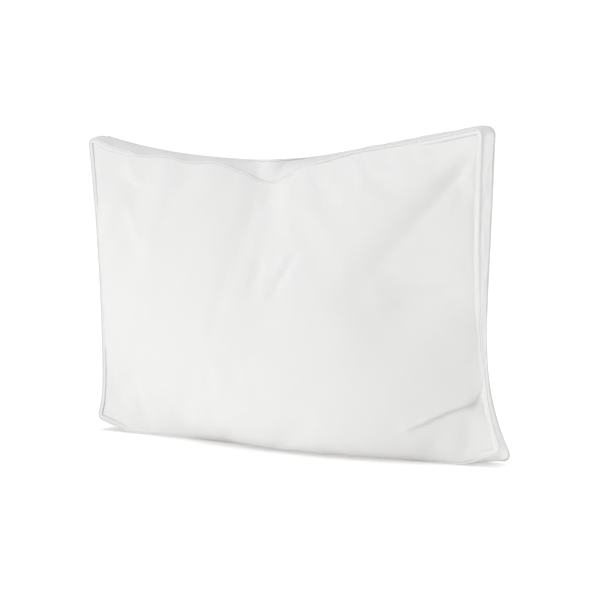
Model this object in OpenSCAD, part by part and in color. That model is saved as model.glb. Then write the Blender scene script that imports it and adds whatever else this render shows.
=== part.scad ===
// Bed pillow with a boxed edge, standing on one long side.
// Two panels are sewn to a narrow band that runs all the way round, with a
// thin piping in each seam. The fill has sunk, so the foot is full, the top
// sags between its corners and both ends are drawn in.
// Millimetres, +X along the pillow, +Y towards its back, +Z up.
// The origin is on the floor, under the middle of the pillow's box.

/* [Cut size] */
// Finished length of each panel, laid flat
panel_length = 750; // [650:10:850]
// Finished height of each panel, laid flat
panel_height = 500; // [440:10:560]
// Finished depth of the side band
band_depth = 40; // [36:1:50]
// Radius of the panels' corners
corner_radius = 15; // [12:1:30]

/* [Fill] */
// How far each panel stands out at its fullest, from the pillow's middle
belly_depth = 76; // [60:1:90]
// How far the top edge sags between its corners
top_sag = 46; // [20:1:60]
// How far the right end is drawn in behind its bottom corner
right_waist = 36; // [10:1:45]
// How far the left end is drawn in behind its top corner
left_waist = 26; // [10:1:45]

/* [Cloth and piping] */
// Thickness of a cloth panel
cloth = 0.6; // [0.4:0.1:0.8]
// Diameter of the piping over its sleeve
piping_d = 3.2; // [3:0.1:4]
// Width of the seam allowance turned inside
allowance = 8; // [6:0.5:10]
// Diameter of the sewing thread
thread_d = 0.5; // [0.4:0.1:0.6]

/* [Label and closing] */
// Number of stitches that close the filling gap
closing_count = 26; // [12:1:40]
// Length of one closing stitch
closing_stitch = 3; // [2:0.5:4]
// Width of the blank care label, across the back panel
label_width = 34; // [20:1:45]

/* [Hidden] */
$fn = 24;

FRONT = -1;
BACK = 1;

// the filled casing is a little smaller than its flat cut
half_length = panel_length * 0.4813;
half_band = band_depth / 2;
front_corner_height = panel_height * 0.961;
back_corner_height = panel_height * 0.975;

piping_r = piping_d / 2;
seam_reach = piping_r + 0.3;
cloth_reach = seam_reach + cloth;
layer_gap = 0.1;
leg_gap = thread_d + 0.3;
sleeve_cloth = 0.45;
leg_y = leg_gap / 2 + sleeve_cloth;
turned_y = leg_y + layer_gap;
bend_y = turned_y + cloth + 0.3;
bend_depth = 3;
cord_r = piping_r - sleeve_cloth - 0.15;

// the face curves lie inside the cloth
belly = belly_depth - cloth_reach;

cells_along = 24;
cells_up = 16;
loop_count = 2 * (cells_along + cells_up);
edge_share = 0.75;
fill_cells_along = 18;
fill_cells_up = 12;

// the fold by the top middle, where the band turns to the front
dive_place = -0.01;
dive_left = 0.14;
dive_right = 0.10;
dive_depth = 24;

// how far the right-hand bottom corner swings back, and reaches past the others
ear_swing = 8;
ear_reach = 2.9;

// stations round the seam, where the two band strips are joined under the foot
join_first = 4;
join_last = cells_along - 4;
// stations of the closed filling gap, on the left end
closing_first = loop_count - 12;
closing_span = 5;

// ---------- small helpers ----------

function mix(p, q, t) = p + (q - p) * t;
function clamp01(t) = max(0, min(1, t));
function ramp(x, from, to) = let (t = clamp01((x - from) / (to - from))) t * t * (3 - 2 * t);
function bump(x, centre, width) = exp(-pow((x - centre) / width, 2));
function unit(v) = v / norm(v);
function up(b) = (b + 1) / 2;
function down(b) = (1 - b) / 2;
function bezier(p, t) =
    len(p) == 1 ? p[0] : bezier([for (i = [0:len(p) - 2]) mix(p[i], p[i + 1], t)], t);

// Cell edges from -1 to 1, closer together by the seams.
function spaced(i, count) =
    let (t = 2 * i / count - 1) mix(t, sin(90 * t), edge_share);

// Pulls the corner of the flat panel in to its rounded outline.
function rounded(a, b) =
    let (
        half = [panel_length / 2, panel_height / 2],
        core = [half.x - corner_radius, half.y - corner_radius],
        over = [
            max(0, abs(a) * half.x - core.x) / corner_radius,
            max(0, abs(b) * half.y - core.y) / corner_radius
        ],
        arc = [over.x * sqrt(1 - over.y * over.y / 2), over.y * sqrt(1 - over.x * over.x / 2)]
    )
    over.x > 0 && over.y > 0
        ? [
            sign(a) * (core.x + corner_radius * arc.x) / half.x,
            sign(b) * (core.y + corner_radius * arc.y) / half.y
        ]
        : [a, b];

// ---------- the filled shape ----------
// a runs from -1 at the left end to 1 at the right, b from -1 at the foot to 1 at the top.

function left_x(b) =
    -half_length + left_waist * (1 - pow(up(b), 2.2) - 0.6 * pow(down(b), 18));
// At the right end the back seam is drawn in behind the front one, most of all low down.
function right_drawn(side, b) =
    side == BACK ? 13 * bump(b, -0.65, 0.75) * (1 - pow(down(b), 8)) : 0;
function right_x(side, b) =
    half_length + ear_reach - right_drawn(side, b)
    - right_waist * (1 - pow(down(b), 5) - 0.2 * pow(up(b), 3));

// The front seam is slack between the corners, so it hangs below the back one.
function dive(a) = bump(a, dive_place, a < dive_place ? dive_left : dive_right);
function front_droop(a) =
    8 * (ramp(a, -0.97, -0.8) - ramp(a, 0.2, 0.45)) - 5 * ramp(-a, 0.85, 1) - 2.5 * a;
function front_top_z(a) =
    front_corner_height - (top_sag - 4) * (1 - pow(abs(a), 1.5))
    - front_droop(a) - dive_depth * dive(a);
function back_top_z(a) =
    back_corner_height - top_sag * (1 - pow(abs(a), 1.35 - 0.55 * a)) - 4 * sin(180 * max(0, -a));
function top_z(side, a) = side == FRONT ? front_top_z(a) : back_top_z(a);

// The bottom corners stand off the floor as small ears.
function corner_lift(side, a) =
    side == FRONT ? (a > 0 ? 21 : 18) : (a > 0 ? 4 : 10);
function foot_z(side, a) =
    piping_r + corner_lift(side, a) * ramp(abs(a), a > 0 ? 0.8 : 0.78, 1.02);

// The band turns towards the front at the top, and the right-hand ear swings back.
function seam_y(side, a, b) =
    side * half_band
    - (side == BACK ? 30 : -2) * dive(a) * pow(up(b), 6)
    + ear_swing * ramp(a, 0.4, 0.95) * pow(down(b), 4);

// Fullness across the pillow: most right of the middle at the foot, even at the top.
function low_fullness(a) =
    let (s = a - 0.22 * (1 - a * a)) pow(1 - pow(abs(s), 2.2), 1.15);
function high_fullness(a) = pow(1 - pow(abs(a), 2.6), 1.05);

// One point of a panel's outer face. Each upright section is a curve of five control points.
function face(side, a, b) =
    let (
        foot = [seam_y(side, a, -1), foot_z(side, a)],
        head = [seam_y(side, a, 1), top_z(side, a)],
        low = low_fullness(a),
        high = high_fullness(a),
        full = [
            foot,
            [side * belly * 1.25, -40],
            [side * belly * 1.22, head.y * 0.3],
            [side * belly * 0.78, head.y * 0.72],
            head
        ],
        weight = [0, low, mix(low, high, 0.3), high, 0],
        section = [for (i = [0:4]) mix(mix(foot, head, i / 4), full[i], weight[i])],
        yz = bezier(section, up(b))
    )
    [mix(left_x(b), right_x(side, b), up(a)), yz.x, max(0, yz.y)];

// The same point on the cloth, which lies clear of its own turned-in allowance.
function cloth_face(side, at) = face(side, at.x, at.y) + [0, side * cloth_reach, 0];

// The direction that leaves the cloth there, found from its neighbours.
function face_out(side, a, b) =
    let (
        step = 0.01,
        along = face(side, min(1, a + step), b) - face(side, max(-1, a - step), b),
        rise = face(side, a, min(1, b + step)) - face(side, a, max(-1, b - step))
    )
    unit(cross(along, rise)) * -side;

// ---------- the seam lines ----------

// Stations of the seam, counted from the bottom left corner along the foot, up the
// right end, back along the top and down the left end.
function station(k, nx, ny) =
    k <= nx ? [k, 0]
    : k <= nx + ny ? [nx, k - nx]
    : k <= 2 * nx + ny ? [2 * nx + ny - k, ny]
    : [0, 2 * (nx + ny) - k];

function seam_place(side, k) =
    let (
        at = station(k, cells_along, cells_up),
        flat = rounded(spaced(at.x, cells_along), spaced(at.y, cells_up))
    )
    face(side, flat.x, flat.y);

FRONT_SEAM = [for (k = [0:loop_count - 1]) seam_place(FRONT, k)];
BACK_SEAM = [for (k = [0:loop_count - 1]) seam_place(BACK, k)];
function seam(side) = side == FRONT ? FRONT_SEAM : BACK_SEAM;
function seam_at(side, k) = seam(side)[(k + loop_count) % loop_count];
function along_seam(side, k) = unit(seam_at(side, k + 1) - seam_at(side, k - 1));
// Away from the pillow's middle, square to the seam and to the band's depth.
function out_of_seam(side, k) =
    let (t = along_seam(side, k)) unit([t.z, 0, -t.x]);

// A point beside the seam: back is along +Y, inward is into the pillow.
function beside_seam(side, k, back, inward) =
    seam_at(side, k) + [0, back, 0] - out_of_seam(side, k) * inward;

// ---------- meshes ----------

function quads(p, q, r, s) = [[p, q, r], [p, r, s]];
function flipped(faces, flip) = flip ? [for (f = faces) [f[2], f[1], f[0]]] : faces;

function grid_faces(nx, ny, first) = [
    for (i = [0:nx - 1], j = [0:ny - 1])
        let (p = first + i * (ny + 1) + j, q = p + ny + 1)
            each quads(p, p + 1, q + 1, q)
];
function grid_rim(nx, ny, first) = [
    for (k = [0:2 * (nx + ny) - 1])
        let (at = station(k, nx, ny)) first + at.x * (ny + 1) + at.y
];
function strip_faces(ring, next) = [
    for (k = [0:len(ring) - 1])
        let (m = (k + 1) % len(ring)) each quads(ring[k], ring[m], next[m], next[k])
];
function counted(first, count) = [for (k = [0:count - 1]) first + k];

// A solid between an outer and an inner chain of points, carried from station to station.
// Both sides split their quads along the same diagonal, so thin cloth stays apart on a twist.
module swept(chains, closed) {
    count = len(chains);
    size = len(chains[0][0]);
    rings = [for (c = chains) concat(c[0], [for (i = [size - 1:-1:0]) c[1][i]])];
    around = 2 * size;
    last = closed ? count - 1 : count - 2;
    walls = [
        for (k = [0:last], i = [0:around - 1])
            let (p = k * around, q = ((k + 1) % count) * around, n = (i + 1) % around)
                each i < size
                    ? quads(p + i, q + i, q + n, p + n)
                    : quads(q + i, q + n, p + n, p + i)
    ];
    function cap(first) = [
        for (i = [0:size - 2])
            each quads(first + i, first + i + 1, first + around - 2 - i, first + around - 1 - i)
    ];
    caps = closed ? [] : concat(cap(0), flipped(cap((count - 1) * around), true));
    polyhedron(points = [for (r = rings) each r], faces = concat(walls, caps), convexity = 10);
}

// A round thread or cord that follows a seam.
module looped_tube(side, radius, back, inward, sides) {
    points = [
        for (k = [0:loop_count - 1])
            let (
                centre = beside_seam(side, k, back, inward),
                out = out_of_seam(side, k),
                across = cross(along_seam(side, k), out)
            )
            for (i = [0:sides - 1])
                let (turn = 360 * (i + 0.5) / sides)
                    centre + radius * (cos(turn) * out + sin(turn) * across)
    ];
    faces = [
        for (k = [0:loop_count - 1], i = [0:sides - 1])
            let (p = k * sides, q = ((k + 1) % loop_count) * sides, n = (i + 1) % sides)
                each quads(p + i, q + i, q + n, p + n)
    ];
    polyhedron(points = points, faces = faces, convexity = 10);
}

// ---------- the cloth ----------

// A panel of cloth, with its seam allowance turned inside all the way round.
module panel(side) {
    function place(i, j) = rounded(spaced(i, cells_along), spaced(j, cells_up));
    function on_rim(i, j) = i == 0 || j == 0 || i == cells_along || j == cells_up;
    stations = [
        for (i = [0:cells_along]) [
            for (j = [0:cells_up])
                j == 0 ? i
                : i == cells_along ? cells_along + j
                : j == cells_up ? 2 * cells_along + cells_up - i
                : i == 0 ? loop_count - j
                : -1
        ]
    ];
    function edge(k, back, inward) = beside_seam(side, k, side * back, inward);
    outer = [
        for (i = [0:cells_along], j = [0:cells_up])
            let (at = place(i, j))
                on_rim(i, j) ? edge(stations[i][j], seam_reach, 0.3) : cloth_face(side, at)
    ];
    inner = [
        for (i = [0:cells_along], j = [0:cells_up])
            let (at = place(i, j))
                on_rim(i, j)
                    ? edge(stations[i][j], bend_y, bend_depth)
                    : cloth_face(side, at) - cloth * face_out(side, at.x, at.y)
    ];
    turned = [for (k = [0:loop_count - 1]) edge(k, turned_y, allowance)];
    turned_back = [for (k = [0:loop_count - 1]) edge(k, turned_y + cloth, allowance)];
    size = len(outer);
    rings = [
        grid_rim(cells_along, cells_up, 0),
        counted(2 * size, loop_count),
        counted(2 * size + loop_count, loop_count),
        grid_rim(cells_along, cells_up, size)
    ];
    faces = concat(
        grid_faces(cells_along, cells_up, 0),
        flipped(grid_faces(cells_along, cells_up, size), true),
        [for (r = [0:2]) each strip_faces(rings[r], rings[r + 1])]
    );
    polyhedron(
        points = concat(outer, inner, turned, turned_back),
        faces = flipped(faces, side == BACK),
        convexity = 10
    );
}

// The band's outer face at one station, from the front seam to the back seam.
band_swell = 3;
function band_point(k, w, inward) =
    let (
        front = seam_at(FRONT, k),
        back = seam_at(BACK, k),
        out = unit(out_of_seam(FRONT, k) + out_of_seam(BACK, k)),
        place = mix(front, back, up(w)) + out * (band_swell * (1 - w * w) - inward)
    )
    [place.x, place.y, max(inward, place.z)];

function band_chains(k) =
    let (waist = [-0.5, 0, 0.5], turned_back = turned_y + cloth)
    [
        concat(
            [beside_seam(FRONT, k, turned_y, allowance), beside_seam(FRONT, k, seam_reach, 0.3)],
            [for (w = waist) band_point(k, w, 0)],
            [beside_seam(BACK, k, -seam_reach, 0.3), beside_seam(BACK, k, -turned_y, allowance)]
        ),
        concat(
            [beside_seam(FRONT, k, turned_back, allowance), beside_seam(FRONT, k, bend_y, bend_depth)],
            [for (w = waist) band_point(k, w, cloth)],
            [beside_seam(BACK, k, -bend_y, bend_depth), beside_seam(BACK, k, -turned_back, allowance)]
        )
    ];

module band(first, last) {
    swept([for (k = [first:last]) band_chains(k)], false);
}

// Cloth wrapped round the piping cord, with both of its edges held in the seam.
module piping_sleeve(side) {
    arcs = 5;
    function leg_turn(radius, y) = asin(y / radius);
    function wrap(k, radius, y) =
        let (start = leg_turn(radius, y))
        concat(
            [beside_seam(side, k, -y, allowance)],
            [
                for (i = [0:arcs])
                    let (turn = mix(start, 360 - start, i / arcs))
                        beside_seam(side, k, -radius * sin(turn), radius * cos(turn))
            ],
            [beside_seam(side, k, y, allowance)]
        );
    swept([
        for (k = [0:loop_count - 1])
            [wrap(k, piping_r, leg_y), wrap(k, piping_r - sleeve_cloth, leg_gap / 2)]
    ], true);
}

// ---------- the sub-parts ----------

module front_panel() { color("#f2f1ee") panel(FRONT); }
module back_panel() { color("#f2f1ee") panel(BACK); }

module band_long_strip() { color("#ecebe8") band(join_last, loop_count + join_first); }
module band_foot_strip() { color("#e6e5e2") band(join_first, join_last); }

module front_piping_sleeve() { color("#f7f6f4") piping_sleeve(FRONT); }
module back_piping_sleeve() { color("#f7f6f4") piping_sleeve(BACK); }
module front_piping_cord() { color("#e3dccb") looped_tube(FRONT, cord_r, 0, 0, 8); }
module back_piping_cord() { color("#e3dccb") looped_tube(BACK, cord_r, 0, 0, 8); }

// The lockstitch runs between the two edges of the sleeve, just inside the piping.
stitch_line = piping_r + 1.2;
module front_seam_thread() {
    color("#ffffff") looped_tube(FRONT, thread_d / 2, 0, stitch_line, 6);
}
module back_seam_thread() {
    color("#ffffff") looped_tube(BACK, thread_d / 2, 0, stitch_line, 6);
}

// A straight rod of thread between two points.
module thread_rod(from, to) {
    way = to - from;
    length = norm(way);
    translate(from)
        rotate([0, acos(way.z / length), atan2(way.y, way.x)])
            cylinder(h = length, d = thread_d);
}

// The two seams that join the band's strips, across its inside.
module band_join_threads() {
    margin = 5;
    color("#ffffff")
        for (k = [join_first, join_last])
            thread_rod(
                beside_seam(FRONT, k, margin, -piping_r + 2 * cloth + thread_d),
                beside_seam(BACK, k, -margin, -piping_r + 2 * cloth + thread_d)
            );
}

// The row of stitches that closes the gap the fill went in by, on the left end's band.
module closing_stitches() {
    from_seam = 4;
    function on_band(t) =
        let (
            k = floor(t),
            near = mix(seam_at(BACK, k), seam_at(BACK, k + 1), t - k),
            middle = mix(band_point(k, 0.5, 0), band_point(k + 1, 0.5, 0), t - k)
        )
        near + unit(middle - near) * from_seam + out_of_seam(BACK, k) * (0.8 + thread_d / 2);
    from = on_band(closing_first);
    to = on_band(closing_first + closing_span);
    pitch = norm(to - from) / closing_count;
    color("#ffffff")
        for (i = [0:closing_count - 1])
            let (
                t = closing_first + closing_span * (i + 0.5) / closing_count,
                centre = on_band(t),
                way = unit(to - from) * min(closing_stitch, pitch * 0.75) / 2
            )
            thread_rod(centre - way, centre + way);
}

// A blank label held in the back seam, lying against the back panel.
module care_label() {
    columns = 4;
    rows = 4;
    low = -0.36;
    high = -0.14;
    start = -0.985;
    reach = 2 * label_width / panel_length;
    function place(i, j, lift) =
        let (a = start + reach * i / columns, b = mix(low, high, j / rows))
            cloth_face(BACK, [a, b]) + lift * face_out(BACK, a, b);
    near = [for (i = [0:columns], j = [0:rows]) place(i, j, 1.2)];
    far = [for (i = [0:columns], j = [0:rows]) place(i, j, 1.2 + cloth)];
    size = len(near);
    faces = concat(
        grid_faces(columns, rows, 0),
        flipped(grid_faces(columns, rows, size), true),
        strip_faces(grid_rim(columns, rows, 0), grid_rim(columns, rows, size))
    );
    color("#fbfbfa") polyhedron(points = concat(near, far), faces = faces, convexity = 4);
}

// The loose fill, as one soft mass a little clear of the cloth and of the seam allowances.
module filling() {
    clear = 5;
    rim_inset = allowance + 4;
    shrink = [1 - 2 * rim_inset / panel_length, 1 - 2 * rim_inset / panel_height];
    function place(side, i, j) =
        let (
            flat = rounded(spaced(i, fill_cells_along), spaced(j, fill_cells_up)),
            a = flat.x * shrink.x,
            b = flat.y * shrink.y,
            rim = i == 0 || j == 0 || i == fill_cells_along || j == fill_cells_up,
            skin = face(side, a, b) - clear * face_out(side, a, b),
            lifted = [skin.x, skin.y, max(skin.z, clear + 1)]
        )
        rim
            ? [lifted.x, seam_y(side, a, b) - side * leg_y * 3, max(lifted.z, rim_inset + 1)]
            : lifted;
    function skin(side) = [
        for (i = [0:fill_cells_along], j = [0:fill_cells_up]) place(side, i, j)
    ];
    size = (fill_cells_along + 1) * (fill_cells_up + 1);
    faces = concat(
        grid_faces(fill_cells_along, fill_cells_up, 0),
        flipped(grid_faces(fill_cells_along, fill_cells_up, size), true),
        strip_faces(
            grid_rim(fill_cells_along, fill_cells_up, 0),
            grid_rim(fill_cells_along, fill_cells_up, size)
        )
    );
    color("#fff8e8")
        polyhedron(points = concat(skin(FRONT), skin(BACK)), faces = faces, convexity = 4);
}

front_panel();
back_panel();
band_long_strip();
band_foot_strip();
front_piping_sleeve();
front_piping_cord();
back_piping_sleeve();
back_piping_cord();
front_seam_thread();
back_seam_thread();
band_join_threads();
closing_stitches();
care_label();
filling();
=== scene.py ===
# %% [markdown]
# # A bed pillow with a boxed edge
#
# The pillow stands on one long side. It is a bag of dense white cotton: a front panel,
# a back panel and a narrow band between them, with a thin piping in each seam. The fill
# has sunk, so the foot is full and the top is slack.
#
# A pillow has no frame that carries it, so every piece here is soft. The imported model
# gives the size and the place of each piece, and this script gives each one its cloth.

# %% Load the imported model
import math

import bpy
import numpy as np
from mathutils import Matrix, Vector, noise


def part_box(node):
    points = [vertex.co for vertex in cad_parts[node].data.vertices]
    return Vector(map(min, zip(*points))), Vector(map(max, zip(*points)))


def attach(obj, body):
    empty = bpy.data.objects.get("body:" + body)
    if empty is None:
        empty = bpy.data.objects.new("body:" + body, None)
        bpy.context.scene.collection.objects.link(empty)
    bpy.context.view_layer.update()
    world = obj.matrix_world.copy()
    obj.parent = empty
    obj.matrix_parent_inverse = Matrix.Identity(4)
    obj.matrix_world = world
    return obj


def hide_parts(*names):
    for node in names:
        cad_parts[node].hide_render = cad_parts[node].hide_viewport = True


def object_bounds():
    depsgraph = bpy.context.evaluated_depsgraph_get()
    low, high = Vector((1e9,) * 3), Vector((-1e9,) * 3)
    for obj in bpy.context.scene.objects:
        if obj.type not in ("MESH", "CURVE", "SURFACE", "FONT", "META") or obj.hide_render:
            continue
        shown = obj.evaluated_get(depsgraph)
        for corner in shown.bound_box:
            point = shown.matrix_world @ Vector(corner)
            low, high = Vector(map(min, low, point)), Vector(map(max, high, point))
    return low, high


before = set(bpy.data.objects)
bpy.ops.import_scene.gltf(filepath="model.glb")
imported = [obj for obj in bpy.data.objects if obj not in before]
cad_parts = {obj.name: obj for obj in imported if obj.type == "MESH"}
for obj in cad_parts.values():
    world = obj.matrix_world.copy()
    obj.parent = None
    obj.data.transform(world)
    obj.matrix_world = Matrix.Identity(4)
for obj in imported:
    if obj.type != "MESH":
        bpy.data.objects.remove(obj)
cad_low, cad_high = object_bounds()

ROOT = "root"
MM = 0.001
print("CAD box, mm:", [round(1000 * v) for v in (*cad_low, *cad_high)])

# %% [markdown]
# ## Sizes
#
# The piping cord runs in the seam, so its box gives the length and height of the seam.
# The box of the whole pillow gives its fullness. The other sizes here are the real ones
# of a sewn detail, such as a 3 mm piping or an 8 mm seam allowance. How far the outline
# sags and draws in is given in millimetres, beside the curve that uses it.

# %% Sizes from the frame
front_low, front_high = (Vector(corner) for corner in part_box("front_piping_cord"))
back_high = Vector(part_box("back_piping_cord")[1])
half_length = (front_high.x - front_low.x) / 2 + 1 * MM
front_corner_height = front_high.z - 2 * MM
back_corner_height = back_high.z - 1 * MM
belly_depth = (cad_high.y - cad_low.y) / 2 - 2.5 * MM
half_band = 20 * MM

piping_radius = 1.6 * MM
cloth = 0.35 * MM
allowance = 8 * MM
print("seam, half length and corner heights, mm:",
      [round(1000 * v, 1) for v in (half_length, front_corner_height, back_corner_height)])

# %% [markdown]
# ## The settled shape
#
# A point on a panel has two places: `a` runs from -1 at the left end to 1 at the right,
# and `b` from -1 at the foot to 1 at the top. Each upright section is a Bezier curve.
# Its ends lie on the seams, and its three middle points give the belly. The belly runs
# out towards the two ends, and the outline draws in between the corners, as it does on
# any bag that is filled.
#
# This could be sculpted by hand instead. A few curves are easier to read and to change,
# and they give the cloth simulation a clean start.

# %% Small helpers for curves
def mix(p, q, t):
    return p + (q - p) * t


def up(b):
    return (b + 1) / 2


def down(b):
    return (1 - b) / 2


def ramp(x, start, end):
    t = np.clip((x - start) / (end - start), 0, 1)
    return t * t * (3 - 2 * t)


def bump(x, centre, width):
    return np.exp(-(((x - centre) / width) ** 2))


# %% The outline of the filled casing
FRONT, BACK = -1, 1
top_sag = 46 * MM
left_waist = 26 * MM
right_waist = 36 * MM
ear_reach = 3 * MM
dive_depth = 24 * MM
dive_place = -0.01
floor_roll = 3 * MM


def left_x(b):
    return -half_length + left_waist * (1 - up(b) ** 2.2 - 0.6 * down(b) ** 18)


def right_x(side, b):
    """The right end. The back seam is drawn in behind the front one, most at the pinch."""
    waist = right_waist * (1 - down(b) ** 5 - 0.2 * up(b) ** 3)
    drawn = 13 * MM * bump(b, -0.65, 0.75) * (1 - down(b) ** 8) if side == BACK else 0
    return half_length + ear_reach - waist - drawn


def dive(a):
    """Where the front seam dips by the top middle, and the band turns to face forward."""
    return bump(a, dive_place, np.where(a < dive_place, 0.14, 0.10))


def front_top_z(a):
    """The slack front seam hangs below the back one, in small waves left of the dive."""
    sag = (top_sag - 4 * MM) * (1 - np.abs(a) ** 1.5)
    droop = 8 * MM * (ramp(a, -0.97, -0.8) - ramp(a, 0.2, 0.45))
    waves = 2.3 * MM * np.cos(24 * (a + 0.562)) * ramp(a, -0.95, -0.8) * (1 - ramp(a, -0.25, -0.05))
    corner = 2.5 * MM * a + 5 * MM * ramp(-a, 0.85, 1)
    return front_corner_height + corner - sag - droop + waves - dive_depth * dive(a)


def back_top_z(a):
    sag = top_sag * (1 - np.abs(a) ** (1.35 - 0.55 * a))
    return back_corner_height - sag - 4 * MM * np.sin(math.pi * np.maximum(-a, 0))


def foot_z(side, a):
    """The bottom corners stand off the floor as small ears."""
    right_lift, left_lift = (21 * MM, 18 * MM) if side == FRONT else (4 * MM, 10 * MM)
    lift = np.where(a > 0, right_lift * ramp(a, 0.8, 1.02), left_lift * ramp(-a, 0.78, 1.02))
    return piping_radius + lift


def seam_y(side, a, b):
    turn = (30 if side == BACK else -2) * MM * dive(a) * up(b) ** 6
    swing = 8 * MM * ramp(a, 0.4, 0.95) * down(b) ** 4
    return side * half_band - turn + swing


# %% One point of a panel
def low_fullness(a):
    skewed = a - 0.22 * (1 - a * a)
    return np.clip(1 - np.abs(skewed) ** 2.2, 0, 1) ** 1.15


def high_fullness(a):
    return np.clip(1 - np.abs(a) ** 2.6, 0, 1) ** 1.05


def curve_weights(t):
    """How much each of the five control points of a section counts at t."""
    return [math.comb(4, i) * t ** i * (1 - t) ** (4 - i) for i in range(5)]


def rested(z, roll):
    """Heights kept above the floor. The cloth rolls off the floor over about the height roll."""
    return (z + np.sqrt(z * z + 4 * roll * roll)) / 2


def panel_place(side, a, b):
    """Points of a panel's outer face, in metres, for arrays a and b."""
    foot_y, head_y = seam_y(side, a, -1), seam_y(side, a, 1)
    foot = foot_z(side, a)
    head = front_top_z(a) if side == FRONT else back_top_z(a)
    low, high = low_fullness(a), high_fullness(a)
    # How far out and how high each middle control point lies, and how full it is there.
    full = [
        (side * belly_depth * 1.25, -40 * MM, low),
        (side * belly_depth * 1.22, head * 0.3, mix(low, high, 0.3)),
        (side * belly_depth * 0.78, head * 0.72, high),
    ]
    weights = curve_weights(up(b))
    y = weights[0] * foot_y + weights[4] * head_y
    z = weights[0] * foot + weights[4] * head
    for i, (full_y, full_z, share) in enumerate(full, start=1):
        y = y + weights[i] * mix(mix(foot_y, head_y, i / 4), full_y, share)
        z = z + weights[i] * mix(mix(foot, head, i / 4), full_z, share)
    x = mix(left_x(b), right_x(side, b), up(a))
    return np.stack([x, y, rested(z, floor_roll * ramp(b, -1, -0.85))], axis=-1)


# %% [markdown]
# ## The grid of a panel
#
# The two panels and the band are first one closed mesh, like the sewn bag. Each panel is
# a grid of quads, and the band joins the rims of the two grids.
#
# One fold of this pillow is sharp: a pinch above its bottom right corner. A fold is only
# as sharp as the mesh under it, so the rows of the grid are drawn together along the line
# of the pinch. A finer mesh everywhere would do it too, at many times the cost.

# %% Grids of the flat panels
count_along = 112
count_up = 76
count_band = 8
corner_share = 0.04


def spaced(count, edge_share=0.35):
    """Places from -1 to 1, a little closer together by the seams."""
    t = np.linspace(-1, 1, count + 1)
    return mix(t, np.sin(t * math.pi / 2), edge_share)


def rounded(a, b):
    """Pulls the corners of the square grid in to rounded ones."""
    across, rise = corner_share, 1.5 * corner_share
    over_a = np.clip((np.abs(a) - 1 + across) / across, 0, 1)
    over_b = np.clip((np.abs(b) - 1 + rise) / rise, 0, 1)
    arc_a = over_a * np.sqrt(1 - over_b ** 2 / 2)
    arc_b = over_b * np.sqrt(1 - over_a ** 2 / 2)
    corner = (over_a > 0) & (over_b > 0)
    return (
        np.where(corner, np.sign(a) * (1 - across + across * arc_a), a),
        np.where(corner, np.sign(b) * (1 - rise + rise * arc_b), b),
    )


pinch_row = -0.555


def pinch_line(a):
    """The place b of the sharp fold above the bottom right corner."""
    return pinch_row + 0.025 * bump(a, 0.8, 0.12) - 0.07 * ramp(a, 0.82, 0.97)


def gathered(a, b):
    """Draws the rows of the grid together along the pinch."""
    near = b - pinch_row
    follow = (pinch_line(a) - pinch_row) * np.exp(-((near / 0.2) ** 2)) * (1 - ramp(a, 0.96, 1))
    drawn = 0.6 * near * np.exp(-((near / 0.12) ** 2))
    return a, b + (follow - drawn) * (1 - np.abs(b) ** 12)


GRID_A, GRID_B = gathered(*rounded(*np.meshgrid(spaced(count_along), spaced(count_up), indexing="ij")))


def rim_cells(nx, ny):
    """The grid cells round the rim: foot, right end, top, left end."""
    foot = [(i, 0) for i in range(nx)]
    right = [(nx, j) for j in range(ny)]
    top = [(nx - i, ny) for i in range(nx)]
    left = [(0, ny - j) for j in range(ny)]
    return foot + right + top + left


RIM = np.array(rim_cells(count_along, count_up))
RIM_A, RIM_B = GRID_A[RIM[:, 0], RIM[:, 1]], GRID_B[RIM[:, 0], RIM[:, 1]]
print("seam stations:", len(RIM))

# %% [markdown]
# ## Listed folds
#
# Some folds belong to this pillow: a long soft trough from the top right corner to the
# middle, the sharp pinch above the bottom right corner, and a few short creases. A
# simulation wouldn't put them in the same places, so they are pressed into the start
# shape. Each is a line with a width and a depth.

# %% Pressing a soft fold into a panel
def trough(places, start, end, width, depth, fade=(0.25, 0.25)):
    """How deep a fold from start to end, two (x, z) places, presses at each point.

    width holds the reach of its two flanks at the start, the one on the left of the way
    to its end first, and how much wider it is at its end."""
    start, end = np.array(start), np.array(end)
    way = end - start
    length = np.linalg.norm(way)
    way = way / length
    offset = places[..., [0, 2]] - start
    along = offset @ way / length
    across = offset[..., 0] * way[1] - offset[..., 1] * way[0]
    reach = np.where(across < 0, width[0], width[1]) * mix(1, width[2], np.clip(along, 0, 1))
    taper = ramp(along, 0, fade[0]) * ramp(1 - along, 0, fade[1])
    return depth * taper * np.exp(-((across / reach) ** 2))


def outward(places, side):
    """The direction that leaves the pillow, at each point of a panel's grid."""
    along = np.gradient(places, axis=0)
    rise = np.gradient(places, axis=1)
    normal = np.cross(along, rise) * -side
    return normal / np.maximum(np.linalg.norm(normal, axis=-1, keepdims=True), 1e-12)


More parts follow.
